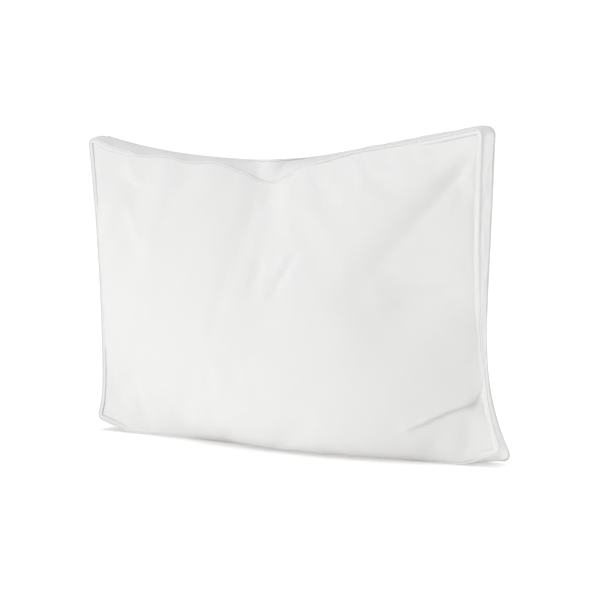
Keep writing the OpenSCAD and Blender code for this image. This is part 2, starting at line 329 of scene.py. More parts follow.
# A fold is its start, end, width, depth and fade. Its places are (x, z) in metres, and its
# depth is in millimetres.
SOFT_FOLDS = [
    ((0.338, 0.458), (0.112, 0.195), (0.055, 0.015, 2.4), 13.0, (0.22, 0.35)),
    ((0.300, 0.300), (0.150, 0.110), (0.030, 0.040, 1.4), 4.0, (0.35, 0.45)),
    ((0.345, 0.455), (0.338, 0.385), (0.007, 0.004, 1.0), 5.0, (0.25, 0.35)),
    ((0.310, 0.094), (0.362, 0.086), (0.010, 0.010, 1.0), 5.0, (0.35, 0.20)),
    ((0.330, 0.268), (0.160, 0.205), (0.018, 0.009, 1.6), 4.0, (0.25, 0.35)),
    ((0.000, 0.220), (0.056, 0.318), (0.006, 0.012, 0.6), 4.0, (0.35, 0.35)),
    ((-0.030, 0.228), (-0.008, 0.300), (0.012, 0.010, 0.8), 2.5, (0.35, 0.35)),
    ((-0.060, 0.330), (0.010, 0.415), (0.016, 0.016, 0.7), 2.0, (0.4, 0.3)),
    ((-0.300, 0.370), (-0.235, 0.235), (0.014, 0.020, 1.4), 2.5, (0.3, 0.4)),
    ((-0.335, 0.450), (-0.190, 0.330), (0.014, 0.018, 2.0), 2.5, (0.25, 0.5)),
    ((-0.325, 0.050), (-0.220, 0.120), (0.014, 0.018, 1.8), 2.5, (0.25, 0.5)),
    ((0.006, 0.436), (0.030, 0.412), (0.010, 0.010, 1.0), 3.0, (0.4, 0.4)),
]


def pressed(places, folds, side):
    press = sum(
        trough(places, start, end, width, depth * MM, fade)
        for start, end, width, depth, fade in folds
    )
    return places - outward(places, side) * press[..., None]


# %% The pinch
lip_out, hollow_in, lip_drop = 3.0 * MM, 2.5 * MM, 3.0 * MM
lip_reach, hollow_reach = 18 * MM, 10 * MM
unit_up = 0.22  # metres of height in one unit of b


def pinched(places):
    """A lip of cloth above the pinch line hangs a little over the hollow below it."""
    above = (GRID_B - pinch_line(GRID_A)) * unit_up
    strength = ramp(GRID_A, 0.60, 0.80) * (1 - ramp(GRID_A, 0.93, 0.985))
    lip = lip_out * np.exp(-above / lip_reach)
    hollow = -hollow_in * np.exp(above / hollow_reach)
    lip = np.where(above > 0, lip, hollow)
    drop = np.where(above > 0, lip_drop * np.exp(-above / hollow_reach), 0)
    moved = places + outward(places, FRONT) * (lip * strength)[..., None]
    moved[..., 2] -= drop * strength
    return moved


def seam_kept(places, start):
    """Folds run out at the seams, which the piping keeps smooth."""
    places = places.copy()
    places[RIM[:, 0], RIM[:, 1]] = start[RIM[:, 0], RIM[:, 1]]
    places[..., 2] = np.maximum(places[..., 2], 0)
    return places


front_plain = panel_place(FRONT, GRID_A, GRID_B)
front_start = seam_kept(pinched(pressed(front_plain, SOFT_FOLDS, FRONT)), front_plain)

# %% [markdown]
# The back is never quite like the front. It has its own slack folds, which run down and
# in from the two top corners, and up and in from the bottom ones.

# %% Folds of the back
BACK_FOLDS = [
    ((0.340, 0.455), (0.130, 0.260), (0.022, 0.018, 2.2), 8.0, (0.10, 0.55)),
    ((-0.345, 0.455), (-0.110, 0.230), (0.018, 0.024, 2.2), 10.0, (0.10, 0.55)),
    ((0.345, 0.040), (0.200, 0.130), (0.010, 0.016, 2.0), 5.0, (0.10, 0.5)),
    ((-0.345, 0.035), (-0.230, 0.110), (0.010, 0.016, 2.0), 5.0, (0.10, 0.5)),
    ((-0.070, 0.400), (-0.020, 0.270), (0.014, 0.020, 1.4), 4.0, (0.3, 0.5)),
]
back_plain = panel_place(BACK, GRID_A, GRID_B)
back_start = seam_kept(pressed(back_plain, BACK_FOLDS, BACK), back_plain)
print("deepest fold, mm:", round(1000 * float(np.linalg.norm(front_start - front_plain, axis=-1).max()), 1))

# %% The band between the two rims
band_swell = 3 * MM
crease_depth = 4.5 * MM


def ring_out(ring):
    """Away from the pillow's middle, square to the band, at each station of a ring."""
    along = np.roll(ring, -1, axis=0) - np.roll(ring, 1, axis=0)
    out = np.stack([along[:, 2], np.zeros(len(ring)), -along[:, 0]], axis=-1)
    return out / np.linalg.norm(out, axis=-1, keepdims=True)


def rim_of(grid):
    return grid[RIM[:, 0], RIM[:, 1]]


def band_crease(share):
    """A slack lengthwise crease in the band, along the two ends of the pillow."""
    ends = ramp(np.abs(RIM_A), 0.97, 1) * bump(RIM_B, 0.1, 0.75)
    wander = 0.52 + 0.06 * np.sin(7 * RIM_B + 1) + 0.03 * np.sin(17 * RIM_B)
    return crease_depth * ends * bump(share, wander, 0.14)


front_rim, back_rim = rim_of(front_start), rim_of(back_start)
rim_out = ring_out((front_rim + back_rim) / 2)
band_rows = []
for k in range(1, count_band):
    share = k / count_band
    swell = band_swell * 4 * share * (1 - share) - band_crease(share)
    row = mix(front_rim, back_rim, share) + rim_out * np.broadcast_to(swell, len(RIM))[:, None]
    row[:, 2] = np.maximum(row[:, 2], 0)
    band_rows.append(row)

# %% Join the grids and the band
panel_size = (count_along + 1) * (count_up + 1)
rim_index = RIM[:, 0] * (count_up + 1) + RIM[:, 1]
band_index = [rim_index]
for k in range(count_band - 1):
    band_index.append(2 * panel_size + k * len(RIM) + np.arange(len(RIM)))
band_index.append(panel_size + rim_index)


def grid_quads(nx, ny, first=0, flip=False):
    quads = []
    for i in range(nx):
        for j in range(ny):
            p = first + i * (ny + 1) + j
            quad = [p, p + ny + 1, p + ny + 2, p + 1]
            quads.append(quad[::-1] if flip else quad)
    return quads


def ring_quads(first_ring, next_ring):
    count = len(first_ring)
    return [
        [first_ring[k], next_ring[k], next_ring[(k + 1) % count], first_ring[(k + 1) % count]]
        for k in range(count)
    ]


casing_points = np.concatenate([front_start.reshape(-1, 3), back_start.reshape(-1, 3), *band_rows])
casing_faces = grid_quads(count_along, count_up) + grid_quads(count_along, count_up, panel_size, True)
for first_ring, next_ring in zip(band_index, band_index[1:]):
    casing_faces += ring_quads(first_ring, next_ring)


def new_piece(name, points, faces, smooth=True):
    mesh = bpy.data.meshes.new(name)
    mesh.from_pydata([tuple(p) for p in points], [], [[int(v) for v in face] for face in faces])
    mesh.validate()
    if smooth:
        mesh.shade_smooth()
    piece = bpy.data.objects.new(name, mesh)
    bpy.context.scene.collection.objects.link(piece)
    return piece


print("casing:", len(casing_points), "points,", len(casing_faces), "faces")

# %% [markdown]
# ## Cloth simulation
#
# The bag is sewn from slightly more cloth than its settled shape needs. The Cloth
# modifier finds where that spare cloth goes: gathers along the seams and soft wrinkles.
# A little pressure stands in for the fill. The seams are held, because the piping keeps
# them smooth.
#
# A simulation also lets the whole bag drift and swell. So only its fine shape is used:
# the smooth, large part of the movement is taken back out, and what is left is capped.

# %% Run the cloth
spare_cloth = 0.025
steps = 24


def simulated(points, faces):
    casing = new_piece("casing_cloth", points, faces)
    held = casing.vertex_groups.new(name="held")
    held.add([int(v) for v in np.concatenate([band_index[0], band_index[-1]])], 1.0, "REPLACE")
    cloth_step = casing.modifiers.new("cloth", "CLOTH")
    settings = cloth_step.settings
    settings.quality = 6
    settings.mass = 0.2
    settings.tension_stiffness = 25
    settings.compression_stiffness = 25
    settings.shear_stiffness = 8
    settings.bending_stiffness = 1.5
    settings.shrink_min = -spare_cloth
    settings.use_pressure = True
    settings.uniform_pressure_force = 1.2
    settings.vertex_group_mass = "held"
    settings.effector_weights.gravity = 0
    cloth_step.collision_settings.use_collision = False
    cloth_step.point_cache.frame_end = steps
    scene = bpy.context.scene
    for step in range(1, steps + 1):
        scene.frame_set(step)
    evaluated = casing.evaluated_get(bpy.context.evaluated_depsgraph_get())
    settled = np.empty(3 * len(points))
    evaluated.data.vertices.foreach_get("co", settled)
    scene.frame_set(1)
    bpy.data.objects.remove(casing, do_unlink=True)
    return settled.reshape(-1, 3)


moved = simulated(casing_points, casing_faces)
drift = moved - casing_points
print("largest move of the cloth, mm:", round(1000 * float(np.abs(drift).max()), 1))

# %% Keep only the fine shape
cap = 7 * MM


def smoothed(grid, rounds):
    """Averages a grid of vectors with its neighbours, with its rim left as it is."""
    grid = grid.copy()
    for _ in range(rounds):
        inner = grid[1:-1, 1:-1]
        around = (grid[:-2, 1:-1] + grid[2:, 1:-1] + grid[1:-1, :-2] + grid[1:-1, 2:]) / 4
        grid[1:-1, 1:-1] = mix(inner, around, 0.8)
    return grid


def fine_part(grid, share, rounds=80):
    """The fine shape of a drift. It fades at the seams, which the piping keeps smooth."""
    fade = 1 - np.maximum(np.abs(GRID_A), np.abs(GRID_B))[..., None] ** 24
    fine = (grid - smoothed(grid, rounds)) * share * fade
    size = np.linalg.norm(fine, axis=-1, keepdims=True)
    return fine * cap * np.tanh(size / cap) / np.maximum(size, 1e-9)


def above_floor(grid):
    grid[..., 2] = np.maximum(grid[..., 2], 0)
    return grid


shape = (count_along + 1, count_up + 1, 3)
front_drift = drift[:panel_size].reshape(shape)
back_drift = drift[panel_size:2 * panel_size].reshape(shape)
front_cloth = above_floor(front_start + fine_part(front_drift, 0.25))
back_cloth = above_floor(back_start + fine_part(back_drift, 0.6))
band_cloth = [above_floor(mix(row, moved[index], 0.5)) for row, index in zip(band_rows, band_index[1:-1])]
print("finest shape kept, mm:", round(1000 * float(np.abs(front_cloth - front_start).max()), 1))

# %% [markdown]
# ## Shader helpers
#
# A material is a small formula. The class below wraps one output of a node, so that the
# formula can be written with + - * and the Math nodes appear by themselves.

# %% Shader maths as Python
class Value:
    def __init__(self, tree, socket):
        self.tree = tree
        self.socket = socket

    def maths(self, operation, first, second):
        node = self.tree.nodes.new("ShaderNodeMath")
        node.operation = operation
        for slot, item in zip(node.inputs, (first, second)):
            if isinstance(item, Value):
                self.tree.links.new(item.socket, slot)
            else:
                slot.default_value = item
        return Value(self.tree, node.outputs[0])

    def __add__(self, other):
        return self.maths("ADD", self, other)

    def __radd__(self, other):
        return self.maths("ADD", other, self)

    def __sub__(self, other):
        return self.maths("SUBTRACT", self, other)

    def __rsub__(self, other):
        return self.maths("SUBTRACT", other, self)

    def __mul__(self, other):
        return self.maths("MULTIPLY", self, other)

    def __rmul__(self, other):
        return self.maths("MULTIPLY", other, self)

    def sine(self):
        return self.maths("SINE", self, 0.0)


# %% A finish, and the one method that adds any other node
class Finish:
    def __init__(self, name, roughness, sheen):
        self.material = bpy.data.materials.new(name)
        self.material.use_nodes = True
        self.tree = self.material.node_tree
        self.shader = self.tree.nodes["Principled BSDF"]
        self.set("Roughness", roughness)
        self.set("Specular IOR Level", 0.25)
        self.set("Sheen Weight", sheen)
        self.set("Sheen Roughness", 0.5)

    def set(self, socket, value):
        self.shader.inputs[socket].default_value = value

    def feed(self, socket, value):
        self.tree.links.new(value.socket, self.shader.inputs[socket])

    def node(self, kind, output=0, settings=None, **sockets):
        node = self.tree.nodes.new(kind)
        for key, setting in (settings or {}).items():
            setattr(node, key, setting)
        for key, item in sockets.items():
            slot = node.inputs[key.replace("_", " ")]
            if isinstance(item, Value):
                self.tree.links.new(item.socket, slot)
            else:
                slot.default_value = item
        return Value(self.tree, node.outputs[output])

    def place(self):
        return self.node("ShaderNodeTexCoord", "Object")

    def split(self, vector):
        return [self.node("ShaderNodeSeparateXYZ", axis, Vector=vector) for axis in "XYZ"]

    def noise(self, vector, size, detail=3.0):
        return self.node("ShaderNodeTexNoise", "Fac", Vector=vector, Scale=1 / size, Detail=detail)

    def blend(self, factor, first, second):
        mixed = self.node("ShaderNodeMix", 2, {"data_type": "RGBA"}, Factor=factor)
        for place, colour in ((6, first), (7, second)):
            mixed.socket.node.inputs[place].default_value = (*colour, 1)
        return mixed

    def bumped(self, height, distance):
        normal = self.node("ShaderNodeBump", Height=height, Distance=distance, Strength=1.0)
        self.feed("Normal", normal)


# %% [markdown]
# ## Cotton percale
#
# The panels are dense plain-weave cotton. From arm's length the weave is only a soft
# matt surface with a slight bloom at grazing angles. So it needs a sheen, a very small
# bump from the threads, and a little unevenness where some threads are thicker. The same
# formula serves the band and the piping, which are cut from the same cloth.

# %% Woven cotton finish
def woven_cotton(name, colour, shade, pitch=0.5 * MM, sheen=0.1, crumple_size=9 * MM):
    finish = Finish(name, roughness=0.85, sheen=sheen)
    place = finish.place()
    x, y, z = finish.split(place)
    turns = 2 * math.pi / pitch
    weave = (x * turns).sine() * ((z + y) * turns).sine()
    stretched = finish.node("ShaderNodeMapping", Vector=place, Scale=(1.0, 1.0, 0.08))
    slubs = finish.noise(stretched, 1.2 * MM)
    crumple = finish.noise(place, crumple_size, detail=4.0)
    clouds = finish.noise(place, 60 * MM)
    finish.feed("Base Color", finish.blend(clouds * 0.6 + slubs * 0.4, shade, colour))
    finish.feed("Roughness", 0.78 + slubs * 0.14)
    finish.bumped(weave * 0.08 + slubs * 0.2 + crumple * 0.8, distance=0.35 * MM)
    return finish.material


panel_cotton = woven_cotton("panel_cotton", (0.76, 0.76, 0.76), (0.73, 0.73, 0.73))
band_cotton = woven_cotton("band_cotton", (0.76, 0.76, 0.76), (0.72, 0.72, 0.72), crumple_size=5 * MM)
piping_cotton = woven_cotton("piping_cotton", (0.76, 0.76, 0.76), (0.71, 0.71, 0.71), crumple_size=3 * MM)

# %% [markdown]
# ## Thread, cord, tape and fill
#
# The sewing thread and the cord inside the piping are twisted, so a fine diagonal ridge
# runs round them, with painted shade in the grooves between. The label is a smooth tape
# with a denser, shinier weave. The fill is down and small feather, a dull warm white, and
# painted shade makes it darker in its hollows.

# %% Finishes of the small pieces
def twisted_yarn(name, colour, shade, ply, sheen):
    finish = Finish(name, roughness=0.7, sheen=sheen)
    place = finish.place()
    x, y, z = finish.split(place)
    ridges = ((x + y + z) * (2 * math.pi / ply)).sine()
    fuzz = finish.noise(place, 0.6 * MM)
    # The colour is darker in the grooves between the ridges, which is painted shade, and it also varies
    # with the fuzz.
    finish.feed("Base Color", finish.blend(ridges * 0.25 + fuzz * 0.7, shade, colour))
    finish.feed("Roughness", 0.6 + fuzz * 0.25)
    finish.bumped(ridges * 0.5 + fuzz * 0.5, distance=0.12 * MM)
    return finish.material


def down_fill(name, colour, shade):
    finish = Finish(name, roughness=0.95, sheen=0.3)
    place = finish.place()
    tufts = finish.noise(place, 14 * MM, detail=6.0)
    barbs = finish.noise(place, 2 * MM, detail=4.0)
    # Painted shade: the colour is darker where the tufts sink, in the hollows.
    finish.feed("Base Color", finish.blend(tufts * 0.7 + barbs * 0.3, shade, colour))
    finish.feed("Roughness", 0.85 + barbs * 0.15)
    finish.bumped(tufts + barbs * 0.4, distance=4 * MM)
    return finish.material


cord_cotton = twisted_yarn("cord_cotton", (0.80, 0.75, 0.66), (0.66, 0.61, 0.52), 1.2 * MM, 0.15)
sewing_thread = twisted_yarn("sewing_thread", (0.84, 0.84, 0.83), (0.72, 0.72, 0.71), 0.4 * MM, 0.1)
label_tape = woven_cotton("label_tape", (0.86, 0.86, 0.85), (0.82, 0.82, 0.81), pitch=0.3 * MM, sheen=0.05)
# The fill's second colour is the painted shade of its hollows.
loose_fill = down_fill("loose_fill", (0.84, 0.80, 0.73), (0.62, 0.58, 0.51))

# %% [markdown]
# ## Panels
#
# Each panel is its grid of cloth, with the edge turned in beside the piping as a seam
# allowance. The modifiers then round the facets and give the cloth its thickness. They
# are applied at once, so that every piece is plain mesh in the end.

# %% Making a piece of cloth
def dress(piece, material, slot, *nodes):
    """What every piece needs: its finish, its body and the node it stands for."""
    piece.data.materials.clear()
    piece.data.materials.append(material)
    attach(piece, ROOT)
    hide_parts(*nodes)
    print(piece.name, len(piece.data.polygons), "faces")
    return piece


def applied(piece, *steps):
    """Adds modifiers, given as (kind, settings), and makes them part of the mesh."""
    for kind, settings in steps:
        step = piece.modifiers.new(kind.lower(), kind)
        for key, setting in settings.items():
            setattr(step, key, setting)
    evaluated = piece.evaluated_get(bpy.context.evaluated_depsgraph_get())
    finished = bpy.data.meshes.new_from_object(evaluated)
    piece.modifiers.clear()
    plain = piece.data
    piece.data = finished
    bpy.data.meshes.remove(plain)
    finished.name = piece.name
    return piece


SMOOTHER = ("SUBSURF", {"levels": 1, "render_levels": 1})
THICKER = ("SOLIDIFY", {"thickness": cloth, "offset": -1.0})

# %% Cut the panels along the seams
fold_y = 0.7 * MM
fold_depth = 1.8 * MM
front_seam, back_seam = rim_of(front_cloth), rim_of(back_cloth)


def seam_places(side, a, b):
    """How far the piping stands out of the seam, and how far the cloth stays off it.

    The front seam folds under by the top middle, lies in a groove up the right end, and
    is nearly closed at the bottom right ear and down the left end."""
    front = side == FRONT
    hidden = front * ramp(a, -0.02, 0.03) * (1 - ramp(a, 0.17, 0.23)) * ramp(b, 0.9, 1)
    groove = front * ramp(a, 0.96, 1) * ramp(b, -0.3, 0.4)
    ear = front * ramp(a, 0.88, 1) * bump(b, -0.8, 0.25)
    left = front * ramp(-a, 0.96, 1)
    rise = 0.1 * MM - (2.6 * hidden + 3.0 * groove + 1.8 * ear + 1.0 * left) * MM
    reach = 1.4 * MM - (1.3 * hidden + 0.9 * ear + 0.8 * left) * MM
    return rise, reach


def turned_in(seam, side, depth):
    """The cloth where it lies beside the piping's own edges, at some depth in the seam."""
    return seam + np.array([0, side * fold_y, 0]) - ring_out(seam) * depth


def panel(name, grid, side, node):
    rim = rim_of(grid)
    inside = grid[np.clip(RIM[:, 0], 1, count_along - 1), np.clip(RIM[:, 1], 1, count_up - 1)]
    away = inside - rim
    away = away / np.linalg.norm(away, axis=-1, keepdims=True)
    points = grid.copy()
    _, reach = seam_places(side, RIM_A, RIM_B)
    points[RIM[:, 0], RIM[:, 1]] = rim + away * reach[:, None]
    rings = [rim_index, panel_size + np.arange(len(RIM)), panel_size + len(RIM) + np.arange(len(RIM))]
    faces = grid_quads(count_along, count_up)
    faces += ring_quads(rings[0], rings[1]) + ring_quads(rings[1], rings[2])
    if side == BACK:
        faces = [face[::-1] for face in faces]
    edges = [turned_in(rim, side, fold_depth), turned_in(rim, side, allowance)]
    piece = new_piece(name, above_floor(np.concatenate([points.reshape(-1, 3), *edges])), faces)
    return dress(applied(piece, SMOOTHER, THICKER), panel_cotton, "panel_cotton", node)


front_panel = panel("pillow_front_panel", front_cloth, FRONT, "front_panel")
back_panel = panel("pillow_back_panel", back_cloth, BACK, "back_panel")

# %% [markdown]
# ## The band
#
# The band is the narrow strip between the two seams. A long strip runs round the ends
# and the top, and a short one lies under the foot. Where the two strips meet, the ends
# of both are turned inside and sewn together.

# %% Two strips of the band
join_first = int(0.07 * count_along)
join_last = count_along - join_first
to_back = back_seam - front_seam
to_back = to_back / np.linalg.norm(to_back, axis=-1, keepdims=True)
front_reach, back_reach = (seam_places(side, RIM_A, RIM_B)[1][:, None] for side in (FRONT, BACK))
band_rings = [
    turned_in(front_seam, BACK, allowance),
    turned_in(front_seam, BACK, fold_depth),
    front_seam + to_back * front_reach,
    *band_cloth,
    back_seam - to_back * back_reach,
    turned_in(back_seam, FRONT, fold_depth),
    turned_in(back_seam, FRONT, allowance),
]
band_out = ring_out((front_seam + back_seam) / 2)


def band_strip(name, first, last, node):
    columns = [[ring[k % len(RIM)] for ring in band_rings] for k in range(first, last + 1)]
    ends = []
    for k, column in ((first, columns[0]), (last, columns[-1])):
        inward = band_out[k % len(RIM)]
        ends.append([np.array(column) - inward * depth for depth in (1.0 * MM, allowance)])
    columns = np.array([ends[0][1], ends[0][0], *columns, ends[1][0], ends[1][1]])
    faces = grid_quads(len(columns) - 1, len(band_rings) - 1, 0, True)
    piece = new_piece(name, above_floor(columns).reshape(-1, 3), faces)
    return dress(applied(piece, SMOOTHER, THICKER), band_cotton, "band_cotton", node)


long_strip = band_strip("pillow_band_long_strip", join_last, len(RIM) + join_first, "band_long_strip")
foot_strip = band_strip("pillow_band_foot_strip", join_first, join_last, "band_foot_strip")

# %% [markdown]
# ## Piping
#
# A thin cord is wrapped in a strip of the same cotton and caught in the seam. The sleeve
# is swept along the seam as an open loop with two long legs, the way it is sewn. It is
# never quite even, so its radius changes a little as it goes. Where the front seam folds
# under by the top middle, the piping sinks out of sight.

# %% Sweeping a profile along a seam
def along_seam(ring, pitch):
    """Points every pitch along a closed ring, on a smooth curve through its stations.

    It gives the points and how far round the ring each one is, in stations."""
    count = len(ring)
    closed = np.concatenate([ring, ring[:1]])
    lengths = np.concatenate([[0], np.cumsum(np.linalg.norm(np.diff(closed, axis=0), axis=1))])
    at = np.linspace(0, lengths[-1], int(lengths[-1] / pitch), endpoint=False)
    k = np.searchsorted(lengths, at, side="right") - 1
    share = (at - lengths[k]) / (lengths[k + 1] - lengths[k])
    t = share[:, None]
    p0, p1, p2, p3 = (ring[(k + step) % count] for step in (-1, 0, 1, 2))
    points = 0.5 * (
        2 * p1 + (p2 - p0) * t + (2 * p0 - 5 * p1 + 4 * p2 - p3) * t ** 2
        + (3 * p1 - p0 - 3 * p2 + p3) * t ** 3
    )
    return points, k + share


def swept(name, path, profile, closed_profile):
    """A skin through one profile of (outward, sideways) points at each place of a closed path."""
    along = np.roll(path, -1, axis=0) - np.roll(path, 1, axis=0)
    along = along / np.linalg.norm(along, axis=-1, keepdims=True)
    out = ring_out(path)
    across = np.cross(along, out)
    points = path[:, None] + profile[..., :1] * out[:, None] + profile[..., 1:] * across[:, None]
    count, size = len(path), profile.shape[1]
    last = size if closed_profile else size - 1
    faces = []
    for k in range(count):
        for i in range(last):
            p, q, n = k * size, (k + 1) % count * size, (i + 1) % size
            faces.append([p + i, q + i, q + n, p + n])
    return new_piece(name, above_floor(points.reshape(-1, 3)), faces)


def round_profile(count, sides, radius, turn=0.0, start=0.0, end=2 * math.pi, closed=True):
    """Points round a circle at each place of a path. radius and turn may change along it."""
    angles = start + (end - start) * np.arange(sides) / (sides if closed else sides - 1)
    angles = angles[None] + np.broadcast_to(turn, count)[:, None]
    radius = np.broadcast_to(radius, count)[:, None]
    return np.stack([radius * np.cos(angles), radius * np.sin(angles)], axis=-1)


# %% How the piping lies
wobble = np.random.default_rng(7)


def uneven(count, period, share):
    """A smooth random factor near 1, which repeats round the ring."""
    knots = wobble.uniform(-1, 1, max(4, count // period))
    places = np.arange(count) / count * len(knots)
    low = np.floor(places).astype(int)
    t = places - low
    return 1 + share * mix(knots[low % len(knots)], knots[(low + 1) % len(knots)], t * t * (3 - 2 * t))


def at_stations(stations, values):
    """Values known at the seam stations, at any place between them."""
    return np.interp(stations, np.arange(len(RIM) + 1), np.append(values, values[0]))


# %% Piping sleeves and their cords
leg_y = 0.35 * MM
leg_length = allowance - 0.5 * MM
cord_radius = 1.0 * MM
twist_pitch = 9 * MM
sleeve_pitch = 2.5 * MM
cord_pitch = 1.2 * MM


def sleeve_profile(count):
    radius = piping_radius * uneven(count, 6, 0.06)
    start = math.asin(leg_y / piping_radius)
    arc = round_profile(count, 14, radius, math.pi, start, 2 * math.pi - start, closed=False)
    legs = np.zeros((count, 1, 2)) + [-leg_length, 0]
    return np.concatenate([legs - [0, leg_y], arc, legs + [0, leg_y]], axis=1)


def strand_profile(count, pitch, sides=12, plies=3):
    """Twisted plies, as lobes that turn along the cord."""
    turn = 2 * math.pi * np.arange(count) * pitch / twist_pitch
    angles = 2 * math.pi * np.arange(sides) / sides
    lobes = 0.86 + 0.14 * np.cos(plies * angles)
    return round_profile(count, sides, 1.0, turn) * lobes[None, :, None] * cord_radius


seams = {"front": (FRONT, front_seam), "back": (BACK, back_seam)}
for side_name, (side, seam) in seams.items():
    path, stations = along_seam(seam, sleeve_pitch)
    rise, _ = seam_places(side, at_stations(stations, RIM_A), at_stations(stations, RIM_B))
    path = path + ring_out(path) * rise[:, None]
    path[:, 2] = np.maximum(path[:, 2], piping_radius)
    sleeve = swept(f"pillow_{side_name}_piping", path, sleeve_profile(len(path)), False)
    applied(sleeve, ("SOLIDIFY", {"thickness": cloth, "offset": 1.0}))
    dress(sleeve, piping_cotton, "piping_cotton", f"{side_name}_piping_sleeve")
    fine_path, _ = along_seam(path, cord_pitch)
    cord = swept(f"pillow_{side_name}_cord", fine_path, strand_profile(len(fine_path), cord_pitch), True)
    dress(cord, cord_cotton, "cord_cotton", f"{side_name}_piping_cord")
    print(side_name, "piping, length round the seam, mm:", round(1000 * cord_pitch * len(fine_path)))

# %% [markdown]
# ## Seam threads
#
# Each seam is one row of lockstitch, 3 mm long, through the legs of the piping. The
# thread crosses from one side of the seam to the other and back at every stitch, so its
# path is a wave.

# %% Lockstitch along the seams
thread_radius = 0.25 * MM
stitch = 3 * MM
stitch_depth = piping_radius + 1.4 * MM
stitch_swing = 0.75 * MM
thread_pitch = 0.75 * MM


def lockstitch(name, seam, node):
    path, _ = along_seam(seam - ring_out(seam) * stitch_depth, thread_pitch)
    wave = stitch_swing * np.cos(math.pi * np.arange(len(path)) * thread_pitch / stitch)
    path = path + np.stack([np.zeros(len(path)), wave, np.zeros(len(path))], axis=-1)
    thread = swept(name, path, round_profile(len(path), 6, thread_radius), True)
    return dress(thread, sewing_thread, "sewing_thread", node)


for side_name, (side, seam) in seams.items():
    lockstitch(f"pillow_{side_name}_seam_thread", seam, f"{side_name}_seam_thread")

# %% [markdown]
# ## Short rows of stitches
#
# Two short rows close the joins of the band, and one row of hand stitches closes the gap
# at the left end that the fill went in through. Every stitch is a small bowed tube, made
# by one function, and a row is one piece.

# %% One bowed stitch
def bowed_stitch(start, end, rise, rings=7, sides=8):
    """Points and faces of a short thread from start to end, which bows along rise."""
    way = (end - start) / np.linalg.norm(end - start)
    lift = rise / np.linalg.norm(rise)
    side = np.cross(way, lift)
    points, faces = [], []
    for k in range(rings):
        t = k / (rings - 1)
        centre = mix(start, end, t) + rise * math.sin(math.pi * t)
        radius = thread_radius * math.sqrt(max(0.05, 1 - (2 * t - 1) ** 6))
        for i in range(sides):
            turn = 2 * math.pi * i / sides
            points.append(centre + radius * (math.cos(turn) * lift + math.sin(turn) * side))
    for k in range(rings - 1):
        for i in range(sides):
            p, n = k * sides, (i + 1) % sides
            faces.append([p + i, p + n, p + sides + n, p + sides + i])
    faces.append(list(range(sides))[::-1])
    faces.append(list(range((rings - 1) * sides, rings * sides)))
    return points, faces


def stitch_row(name, stitches, node):
    points, faces = [], []
    for start, end, rise in stitches:
        new_points, new_faces = bowed_stitch(start, end, rise)
        faces += [[v + len(points) for v in face] for face in new_faces]
        points += new_points
    row = new_piece(name, points, faces)
    return dress(row, sewing_thread, "sewing_thread", node)


# %% Joins of the band
join_count = 10
join_depth = 3 * MM
join_bow = 0.5 * MM


def join_stitches(k):
    """Stitches through the turned-in ends of the two strips, a little inside the band."""
    column = np.array([ring[k] - band_out[k] * join_depth for ring in band_rings[2:-2]])
    for i in range(join_count):
        places = (np.array([i + 0.12, i + 0.88]) / join_count) * (len(column) - 1)
        start, end = (
            np.array([np.interp(place, np.arange(len(column)), column[:, axis]) for axis in range(3)])
            for place in places
        )
        side = np.cross(end - start, band_out[k])
        yield start, end, side / np.linalg.norm(side) * join_bow * (-1) ** i


join_row = [entry for k in (join_first, join_last) for entry in join_stitches(k)]
stitch_row("pillow_band_join_threads", join_row, "band_join_threads")

# %% Stitches of the closed gap
closing_low, closing_high = (Vector(corner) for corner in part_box("closing_stitches"))
closing_count = 26
closing_inset = 4 * MM
closing_slant = 0.7 * MM
closing_bow = 0.6 * MM
left_end = np.where((RIM_A < -0.99) & (RIM_B < 0.98) & (RIM_B > -0.98))[0]


def on_left_band(z):
    """A place on the band's outer face by the back seam, at height z on the left end."""
    order = left_end[np.argsort(back_seam[left_end, 2])]
    heights = back_seam[order, 2]
    edge = np.array([np.interp(z, heights, back_seam[order, axis]) for axis in range(3)])
    inner = np.array([np.interp(z, heights, band_cloth[-1][order, axis]) for axis in range(3)])
    towards = inner - edge
    return edge + towards / np.linalg.norm(towards) * closing_inset


closing_row = []
for i in range(closing_count):
    place = mix(closing_low.z, closing_high.z, (i + 0.5) / closing_count)
    half = 0.36 * (closing_high.z - closing_low.z) / closing_count
    start, end = on_left_band(place - half), on_left_band(place + half)
    slant = np.array([0, closing_slant, 0])
    closing_row.append((start - slant, end + slant, np.array([-closing_bow, 0, 0])))
stitch_row("pillow_closing_stitches", closing_row, "closing_stitches")

# %% [markdown]
# ## Label
#
# A small blank tape lies on the back panel, beside the back seam at the left end, and its
# free corners lift a little. On a real pillow its near edge is caught in the seam. Here
# its outline comes from its packed box, which stops just short of the seam.

# %% Blank label on the back panel
label_low, label_high = (Vector(corner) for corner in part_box("care_label"))
label_cells = (12, 16)
label_clear = 1.6 * MM
label_thickness = 0.4 * MM


def on_back(x, z):
    """The back panel's point at a place (x, z), its depth averaged from the nearest grid points."""
    apart = (back_cloth[..., 0] - x) ** 2 + (back_cloth[..., 2] - z) ** 2
    spot = np.unravel_index(apart.argmin(), apart.shape)
    near = (slice(max(0, spot[0] - 2), spot[0] + 3), slice(max(0, spot[1] - 2), spot[1] + 3))
    weight = 1 / (apart[near] + 1e-7)
    y = (back_cloth[near][..., 1] * weight).sum() / weight.sum()
    return np.array([x, y, z])


def label():
    points = []
    for i in range(label_cells[0] + 1):
        for j in range(label_cells[1] + 1):
            s, t = i / label_cells[0], j / label_cells[1]
            spot = on_back(mix(label_low.x, label_high.x, s), mix(label_low.z, label_high.z, t))
            curl = 2.2 * MM * s ** 2 * (0.35 + (2 * t - 1) ** 2)
            hem = 0.25 * MM * (s > 0.85)
            points.append(spot + np.array([0, label_clear + curl + hem, 0]))
    piece = new_piece("pillow_care_label", points, grid_quads(*label_cells, 0, True))
    applied(piece, SMOOTHER, ("SOLIDIFY", {"thickness": label_thickness, "offset": 1.0}))
    return dress(piece, label_tape, "label_tape", "care_label")


care_label = label()

